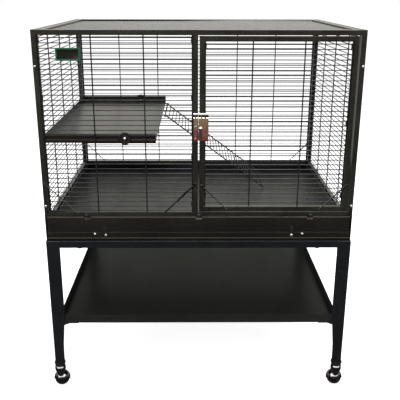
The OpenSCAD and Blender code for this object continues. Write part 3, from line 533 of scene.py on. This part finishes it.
# Low and high corner of each separate solid of a CAD node
def solidBoxes(node):
    duplicateOf(nodes[node])
    editMode()
    mergeDoubles()
    bpy.ops.mesh.separate(type="LOOSE")
    editMode(False)
    found = []
    for part in list(bpy.context.selected_objects):
        points = [v.co for v in part.data.vertices]
        low = Vector([min(point[axis] for point in points) for axis in range(3)])
        high = Vector([max(point[axis] for point in points) for axis in range(3)])
        found.append((low, high))
        bpy.data.objects.remove(part)
    return sorted(found, key=lambda box: tuple(round(v, 4) for v in box[0]))


# Stand a form on the inner end of a solid, or let it end where the solid ends if its height is
# given; it looks away from the middle of the cage
def seatOn(piece, low, high, height=None):
    middle = (low + high) / 2
    way = "front" if middle.y < 0 else "back"
    inner, outer = (high.y, low.y) if way == "front" else (low.y, high.y)
    level = inner
    if height is not None:
        level = outer + math.copysign(height / 1000, inner - outer)
    faceOut(piece, (middle.x, level, middle.z), way)


# Screw head with a crossed recess, in shares of its radius and height: the top's ring is drawn in
# to the waist at the corners between the four arms, which are given in degrees
crossLook = {
    "sides": 24, "shank": 0.6, "crown": ((1, 0), (1, 0.42), (0.9, 0.75), (0.72, 0.94)),
    "arm": 0.62, "rim": 0.97, "corner": (20, 70), "waist": 0.36, "depth": 0.45,
}


def crossedHead(radius, height, stem=1.0):
    look = crossLook
    shank = radius * look["shank"]
    steps = [(shank, -stem), (shank, 0)]
    steps += [(radius * wide, height * high) for wide, high in look["crown"]]
    steps += [(radius * look["arm"], height)]
    piece = turned(steps, look["sides"])
    top = height / 1000
    bpy.ops.mesh.extrude_region_move()
    bpy.ops.transform.resize(value=(look["rim"], look["rim"], 1), center_override=(0, 0, top))
    reach = radius * look["arm"] * (1 + look["rim"]) / 2 / 1000
    low, high = look["corner"]

    def corner(vertex):
        turn = math.degrees(math.atan2(vertex.co.y, vertex.co.x)) % 90
        onTop = abs(vertex.co.z - top) < 1e-6
        return onTop and vertex.co.xy.length < reach and low < turn < high

    def recess(face):
        return abs(face.calc_center_median().z - top) < 1e-6 and len(face.verts) == look["sides"]

    pick("verts", corner)
    bpy.ops.transform.resize(value=(look["waist"], look["waist"], 1), center_override=(0, 0, top))
    pick("faces", recess)
    bpy.ops.mesh.extrude_region_move(
        TRANSFORM_OT_translate={"value": (0, 0, -top * look["depth"])})
    editMode(False)
    return piece


# Screws that the solids of a node place; a raised head ends where its solid ends
def screwsOf(node, look):
    firstScrew = crossedHead(look["radius"], look["height"], look["stem"])
    for number, (low, high) in enumerate(solidBoxes(node), 1):
        piece = duplicateOf(firstScrew)
        seatOn(piece, low, high, look["height"] if look["raised"] else None)
        settle(piece, "%s%d" % (look["name"], number), look["finish"], node)
    bpy.data.objects.remove(firstScrew)


braceScrew = {"name": "braceScrew", "finish": "cagePaint", "radius": 3.4, "height": 1.9,
              "stem": 1.0, "raised": False}
doorScrew = {**braceScrew, "name": "doorScrew"}
panelBolt = {"name": "panelBolt", "finish": "zinc", "radius": 4.0, "height": 3.0,
             "stem": 29, "raised": True}

screwsOf("brace_screws", braceScrew)
screwsOf("door_screws", doorScrew)
screwsOf("panel_bolts", panelBolt)
print("screws made")


# Thumb screws on the bottom rail: a collar, a neck and a ribbed knob with a hollow end
knobLook = {
    "sides": 40, "collar": 10.0, "collarHeight": 1.2, "collarEdge": 0.3,
    "neck": 5.0, "neckHeight": 2.0, "radius": 7.25, "height": 11.0, "edge": 0.5,
    "end": ((0, -1.6), (-0.6, -0.6), (-1.8, 0), (-2.6, 0), (-3.2, -0.7)), "hollow": (0.8, -0.9),
    "ribbed": (6.5, 7.8), "ribDepth": 0.35, "ribGap": 0.18,
}


def thumbKnob():
    look = knobLook
    radius, height, edge = look["radius"], look["height"], look["edge"]
    collar, thick, roll = look["collar"], look["collarHeight"], look["collarEdge"]
    neck, shoulder = look["neck"], look["neckHeight"]
    steps = [(collar - roll, 0), (collar, roll), (collar, thick - roll), (collar - roll, thick)]
    steps += [(neck, thick), (neck, shoulder)]
    steps += [(radius - edge, shoulder), (radius, shoulder + edge)]
    steps += [(radius + inwards, height + down) for inwards, down in look["end"]]
    steps += [(look["hollow"][0], height + look["hollow"][1])]
    piece = turned(steps, look["sides"])
    inner, outer = mm(*look["ribbed"])

    # Every second face round the side is pressed in
    def groove(face):
        middle = face.calc_center_median()
        if abs(face.normal.z) > 0.05 or not inner < middle.xy.length < outer:
            return False
        step = math.atan2(middle.y, middle.x) / (2 * math.pi / look["sides"])
        return math.floor(step) % 2 == 0

    pick("faces", groove)
    bpy.ops.mesh.inset(thickness=look["ribGap"] / 1000, depth=-look["ribDepth"] / 1000,
                       use_individual=True)
    editMode(False)
    return piece


firstKnob = thumbKnob()
for number, (low, high) in enumerate(solidBoxes("thumb_screws"), 1):
    middle = (low + high) / 2
    piece = duplicateOf(firstKnob)
    faceOut(piece, (middle.x, frontY / 1000, middle.z), "front")
    settle(piece, "thumbKnob%d" % number, "plastic", "thumb_screws")
bpy.data.objects.remove(firstKnob)
print("thumb screws made")


# Platform clamps: cup washers, bolts and wing nuts; the washer's rim is given from its edge and
# its top, the dish inside it by radius and from its top
washerLook = {
    "sides": 56, "radius": 20.5, "height": 3.0, "edge": 0.4,
    "rim": ((0, -1.4), (-0.5, -0.5), (-1.5, 0), (-3.5, 0), (-5, -0.5)),
    "dish": ((9, -0.7), (7.6, -0.2), (6.4, -0.1), (5.4, -0.8), (3.3, -1.2)),
}
clampBolt = {"name": "clampBolt", "finish": "zinc", "radius": 4.1, "height": 2.5,
             "stem": 18, "raised": True}
wingNutEdge = 0.5


def cupWasher():
    look = washerLook
    radius, height, edge = look["radius"], look["height"], look["edge"]
    steps = [(radius - edge, 0), (radius, edge)]
    steps += [(radius + inwards, height + down) for inwards, down in look["rim"]]
    steps += [(wide, height + down) for wide, down in look["dish"]]
    piece = turned(steps, look["sides"])
    editMode(False)
    return piece


firstWasher = cupWasher()
for number, (low, high) in enumerate(solidBoxes("clamp_washers"), 1):
    piece = duplicateOf(firstWasher)
    seatOn(piece, low, high)
    settle(piece, "cupWasher%d" % number, "plastic", "clamp_washers")
bpy.data.objects.remove(firstWasher)
screwsOf("clamp_bolts", clampBolt)
rounded("wing_nuts", "wingNuts", "plastic", wingNutEdge)
print("platform clamps made")


# Name plate: a green border round a bare black field, in millimetres
plateLook = {"height": 38.5, "thickness": 2.0, "border": 4.0, "bead": 0.7, "sink": 0.9,
             "slope": 0.3, "edge": 0.3}


def namePlate():
    look = plateLook
    low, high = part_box("name_plate")
    tall, thick = mm(look["height"], look["thickness"])
    deselectAll()
    bpy.ops.mesh.primitive_cube_add(
        size=1, location=((low.x + high.x) / 2, low.y + thick / 2, low.z + tall / 2),
        scale=(high.x - low.x, thick, tall))
    piece = bpy.context.object
    bpy.ops.object.transform_apply(location=True, rotation=True, scale=True)
    piece.data.materials.append(finishes["green"])
    editMode()
    pick("faces", lambda face: face.normal.y < -0.9)
    bpy.ops.mesh.inset(thickness=look["bead"] / 1000, depth=0.0)
    bpy.ops.mesh.inset(thickness=(look["border"] - look["bead"]) / 1000, depth=0.0)
    bpy.ops.mesh.inset(thickness=look["slope"] / 1000, depth=-look["sink"] / 1000)
    paintPicked(piece, "field")
    editMode(False)
    roundEdges(piece, look["edge"], 2, 30)
    settle(piece, "namePlate", None, "name_plate", merge=False)


namePlate()
print("name plate made, bare")


# Tray locks: rounded tabs with a bright bolt head, and a stop screw beside each
lockLook = {"edge": 0.7, "radius": 4.7, "height": 3.3, "stem": 1.5, "sunk": 3.0}
stopScrew = {"name": "stopScrew", "finish": "zinc", "radius": 4.1, "height": 3.0,
             "stem": 9, "raised": True}

firstHead = crossedHead(lockLook["radius"], lockLook["height"], lockLook["stem"])
for side in ("left", "right"):
    node = "tray_lock_" + side
    rounded(node, "lockTab" + side.title(), "cagePaint", lockLook["edge"], 3)
    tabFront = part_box(node)[0].y
    spindle = Vector(jointPlace[node + "_turn"])
    piece = duplicateOf(firstHead)
    faceOut(piece, (spindle.x, tabFront + lockLook["sunk"] / 1000, spindle.z), "front")
    settle(piece, "lockBolt" + side.title(), "zinc", node)
bpy.data.objects.remove(firstHead)
screwsOf("tray_screws", stopScrew)
print("tray locks made")


# Casters, in millimetres from the swivel's axis and the floor: the hood is a dome cut on the
# slant, with a turned neck and stem on its front and a round cheek at each end of the axle
casterLook = {
    "radius": 28.7, "wall": 1.4, "tilt": 19, "trail": 17, "centre": 26.5,
    "domeSides": 56, "domeRings": 32, "neckSides": 48, "cheekSides": 32,
    "neck": ((4, 42), (9.5, 47), (12.5, 53), (14.5, 60), (17, 68), (18.7, 74), (19, 77),
             (19, 85.5), (18, 87.2), (15.6, 89.3), (15.3, 91), (15.6, 92.8), (17.8, 94.4),
             (18, 95.4), (18, 97.6), (17, 98.7), (5, 98.7), (5, 131), (4, 132)),
    "cheek": ((6, 26.6), (6, 27.7), (5.6, 28.1), (4.6, 28.3), (3, 28.3)),
    "ballEdge": 0.3, "axleEdge": 0.4, "socketEdge": 0.6,
}


def casterDome(middle):
    look = casterLook
    deselectAll()
    bpy.ops.mesh.primitive_uv_sphere_add(segments=look["domeSides"], location=middle,
                                         ring_count=look["domeRings"],
                                         radius=look["radius"] / 1000)
    dome = bpy.context.object
    bpy.ops.object.transform_apply(location=True)
    editMode()
    bpy.ops.mesh.select_all(action="SELECT")
    slant = math.radians(look["tilt"])
    bpy.ops.mesh.bisect(plane_co=middle, plane_no=(0, math.sin(slant), math.cos(slant)),
                        clear_inner=True)
    editMode(False)
    wall = dome.modifiers.new("wall", "SOLIDIFY")
    wall.thickness = look["wall"] / 1000
    wall.offset = -1
    wall.use_even_offset = True
    bpy.ops.object.modifier_apply(modifier=wall.name)
    return dome


def casterHood():
    look = casterLook
    middle = mm(0, look["trail"], look["centre"])
    parts = [casterDome(middle), turned(look["neck"], look["neckSides"])]
    editMode(False)
    for way in ("left", "right"):
        cheek = turned(look["cheek"], look["cheekSides"])
        editMode(False)
        faceOut(cheek, middle, way)
        bpy.ops.object.transform_apply(location=True, rotation=True)
        parts.append(cheek)
    deselectAll()
    for part in parts:
        part.select_set(True)
    bpy.context.view_layer.objects.active = parts[0]
    bpy.ops.object.join()
    return parts[0]


firstHood = casterHood()
for corner in ("fl", "fr", "rl", "rr"):
    rounded("caster_ball_" + corner, "rollerBall" + corner.upper(), "rubber",
            casterLook["ballEdge"])
    rounded("caster_axle_" + corner, "casterAxle" + corner.upper(), "zinc",
            casterLook["axleEdge"])
    hood = duplicateOf(firstHood)
    swivel = Vector(jointPlace["swivel_" + corner])
    hood.location = (swivel.x, swivel.y, 0)
    settle(hood, "casterHood" + corner.upper(), "hoodChrome", "caster_fork_" + corner, 25)
bpy.data.objects.remove(firstHood)
rounded("caster_sockets", "casterSockets", "plastic", casterLook["socketEdge"])
print("casters made")


# Latch, in millimetres: levels of the header's ribs, its recess and the screws, and where the
# screws sit across
latchLook = {
    "ribTops": (1008.5, 995.5), "ribDepth": 3.0, "slope": 1.3, "recess": (995.6, 1002.9),
    "headerScrew": 999.25, "lowScrew": 926.5, "plateScrews": (8, 20), "keeperScrews": -11,
    "screwRadius": 3.3, "screwHeight": 1.9, "sheet": 1.5, "edge": 0.3, "leverEdge": 0.8,
}


# Plate or keeper: the ribs of its header slope upwards; the recess between them is painted black
# as shade
def latchHalf(node, name):
    look = latchLook
    slopes = [(frontY - look["ribDepth"], top, look["slope"], 1) for top in look["ribTops"]]
    piece = rounded(node, name, "chrome", look["edge"], 2, 8, slopes)
    low, high = mm(*look["recess"])
    # Painted shade: the recess's front faces get the black plastic finish
    editMode()
    pick("faces", lambda face: face.normal.y < -0.9 and low < face.calc_center_median().z < high)
    paintPicked(piece, "plastic")
    editMode(False)


latchHalf("latch_plate", "latchPlate")
latchHalf("latch_keeper", "latchKeeper")
rounded("latch_lever", "latchLever", "chrome", latchLook["leverEdge"], 3)
latchScrews = [("latch_plate", x, latchLook["headerScrew"]) for x in latchLook["plateScrews"]]
latchScrews += [("latch_keeper", latchLook["keeperScrews"], latchLook[level])
                for level in ("headerScrew", "lowScrew")]
firstScrew = crossedHead(latchLook["screwRadius"], latchLook["screwHeight"])
for number, (node, x, z) in enumerate(latchScrews, 1):
    piece = duplicateOf(firstScrew)
    faceOut(piece, mm(x, frontY - latchLook["sheet"], z), "front")
    settle(piece, "latchScrew%d" % number, "chrome", node)
bpy.data.objects.remove(firstScrew)
print("latch made")


# Sheet, tube and wire pieces are their own solids with rounded edges: finish, width of the
# rounding in millimetres, nodes
plainPieces = (
    ("panPaint", 0.4, ("tray", "platform")),
    ("basePaint", 0.6, ("base_frame",)),
    ("basePaint", 0.4, ("base_walls",)),
    ("shelfPaint", 0.6, ("shelf",)),
    ("standPaint", 2.5, ("stand_frame",)),
    ("standPaint", 0.6, ("leg_front_left", "leg_front_right", "leg_rear_left", "leg_rear_right",
                         "shelf_brackets")),
    ("cagePaint", 0.0, ("front_frame", "back_frame", "left_frame", "right_frame", "roof_frame",
                        "door_frame", "corner_braces", "door_braces")),
    ("cagePaint", 0.3, ("front_sill", "tray_runners", "ramp_loops")),
    ("wirePaint", 0.0, ("front_wires", "back_wires", "left_wires", "right_wires")),
    ("litRoofWirePaint", 0.0, ("roof_wires",)),
    ("wirePaint", 0.0, ("door_wires",)),
    ("rampPaint", 0.0, ("ramp",)),
    ("zinc", 0.4, ("hinge_pins",)),
    ("standPaint", 0.4, ("shelf_bolts",)),
    ("plastic", 0.6, ("stand_bolts",)),
)
smoothAngles = {"wirePaint": 50, "litRoofWirePaint": 50, "rampPaint": 50}  # round rods; others get 20
# Folded front edges of the tray and a rolled one of the base: levels, radii and segments
foldLook = {"tray": (663.5, 591), "trayOut": 2.5, "trayRadius": 1.4, "base": 589,
            "baseRadius": 2.5, "segments": 4}
folds = {
    "tray": [(frontY - foldLook["trayOut"], level, foldLook["trayRadius"], foldLook["segments"])
             for level in foldLook["tray"]],
    "base_frame": [(frontY, foldLook["base"], foldLook["baseRadius"], foldLook["segments"])],
}


def pieceName(node):
    first, *rest = node.split("_")
    return first + "".join(word.title() for word in rest) + "Piece"


for finish, width, members in plainPieces:
    for node in members:
        rounded(node, pieceName(node), finish, width, 2, smoothAngles.get(finish, 20),
                folds.get(node, ()))


# The ramp's side rods are a little stouter than its rungs: the vertices in a band at each side,
# above the rod that lies on the tray, are moved outwards
rampLook = {"stouter": 0.65, "band": 4.7, "from": 632}


def stoutenRamp():
    selectOnly(bpy.data.objects["rampPiece"])
    low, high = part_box("ramp")
    band, start = mm(rampLook["band"], rampLook["from"])
    editMode()
    pick("verts", lambda v: v.co.z > start and not low.y + band <= v.co.y <= high.y - band)
    bpy.ops.transform.shrink_fatten(value=rampLook["stouter"] / 1000)
    editMode(False)


stoutenRamp()
print("sheet, tube and wire pieces made:", sum(len(row[2]) for row in plainPieces))


# White floor under a white surround: mirror-like faces see it pale behind and dark in front, with
# a bright strip overhead. The floor's mirrored colours run from the front to the back
studio = {
    "floorSize": 60, "floorColour": (0.9, 0.9, 0.9), "floorLift": 0.86,
    "floorMirror": ((0.0, (0.34, 0.31, 0.18)), (0.185, (0.30, 0.26, 0.14)),
                    (0.245, (0.27, 0.035, 0.045)), (0.36, (0.12, 0.025, 0.03)),
                    (0.5, (0.055, 0.055, 0.05)), (0.86, (0.07, 0.07, 0.07)),
                    (1.0, (0.7, 0.7, 0.7))),
    "floorMirrorSpan": (-6.5, 1.0),
    "skyDiffuse": 0.28, "skyFront": (0.15, 0.145, 0.12), "skyBack": (0.98, 0.97, 0.88),
    "skyBackSpan": (-0.1, 0.35), "skyTop": 5.5, "skyTopSpan": (0.36, 0.58),
    "skyTopEnd": (-0.3, 0.1),
}
# Name, place, target, size and power of each lamp
lamps = (
    ("overhead", (0.2, 0.5, 3.3), (0, 0.2, 0.6), 3.2, 150),
    ("left", (-2.6, -2.9, 2.0), (-0.2, 0, 0.7), 1.6, 34),
    ("right", (2.3, -3.0, 1.9), (0.2, 0, 0.6), 0.6, 3),
)
white = (1, 1, 1)


def studioFloor():
    deselectAll()
    bpy.ops.mesh.primitive_plane_add(size=studio["floorSize"], location=(0, 0, 0))
    floor = bpy.context.object
    floor.name = "studioFloor"
    material, ground = newFinish("studio_floor")
    paint = ground.node("BsdfDiffuse", Color=studio["floorColour"])
    seen = ground.ray("Camera")
    glow = ground.node("Emission", Color=white, Strength=seen * studio["floorLift"])
    near, far = studio["floorMirrorSpan"]
    depth = ground.node("MapRange", Value=ground.along("Y", ground.place()), From_Min=near,
                        From_Max=far)
    colour = ground.node("ValToRGB", {"stops": studio["floorMirror"]}, Fac=depth)
    plain = ground.node("AddShader", in0=paint, in1=glow)
    mirrored = ground.node("Emission", Color=colour, Strength=1.0)
    ground.send(ground.node("MixShader", in0=ground.ray("Glossy"), in1=plain, in2=mirrored))
    floor.data.materials.append(material)


def studioSky():
    world = bpy.data.worlds.new("studio_world")
    bpy.context.scene.world = world
    sky = Finish(world)
    direction = sky.node("TexCoord", output="Generated")
    backwards = sky.along("Y", direction)
    behind = sky.between(backwards, *studio["skyBackSpan"])
    inFront = 1 - sky.between(backwards, *studio["skyTopEnd"])
    overhead = sky.between(sky.along("Z", direction), *studio["skyTopSpan"]) * inFront
    mirrorColour = sky.blend(overhead, sky.blend(behind, studio["skyFront"], studio["skyBack"]),
                             white)
    mirrorLevel = 1 + overhead * (studio["skyTop"] - 1)
    glossy = sky.ray("Glossy")
    seen = (sky.ray("Camera") + sky.ray("Transmission")).atMost(1.0)
    unseen = 1 - seen
    level = seen + unseen * (glossy * mirrorLevel + (1 - glossy) * studio["skyDiffuse"])
    colour = sky.blend(unseen * glossy, white, mirrorColour)
    sky.send(sky.node("Background", Color=colour, Strength=level), "World")


studioFloor()
studioSky()
for name, place, target, size, power in lamps:
    deselectAll()
    aim = Vector(target) - Vector(place)
    bpy.ops.object.light_add(type="AREA", location=place,
                             rotation=aim.to_track_quat("-Z", "Y").to_euler())
    lamp = bpy.context.object
    lamp.name = name + "Lamp"
    lamp.data.shape = "SQUARE"
    lamp.data.size = size
    lamp.data.energy = power
print("studio lit")
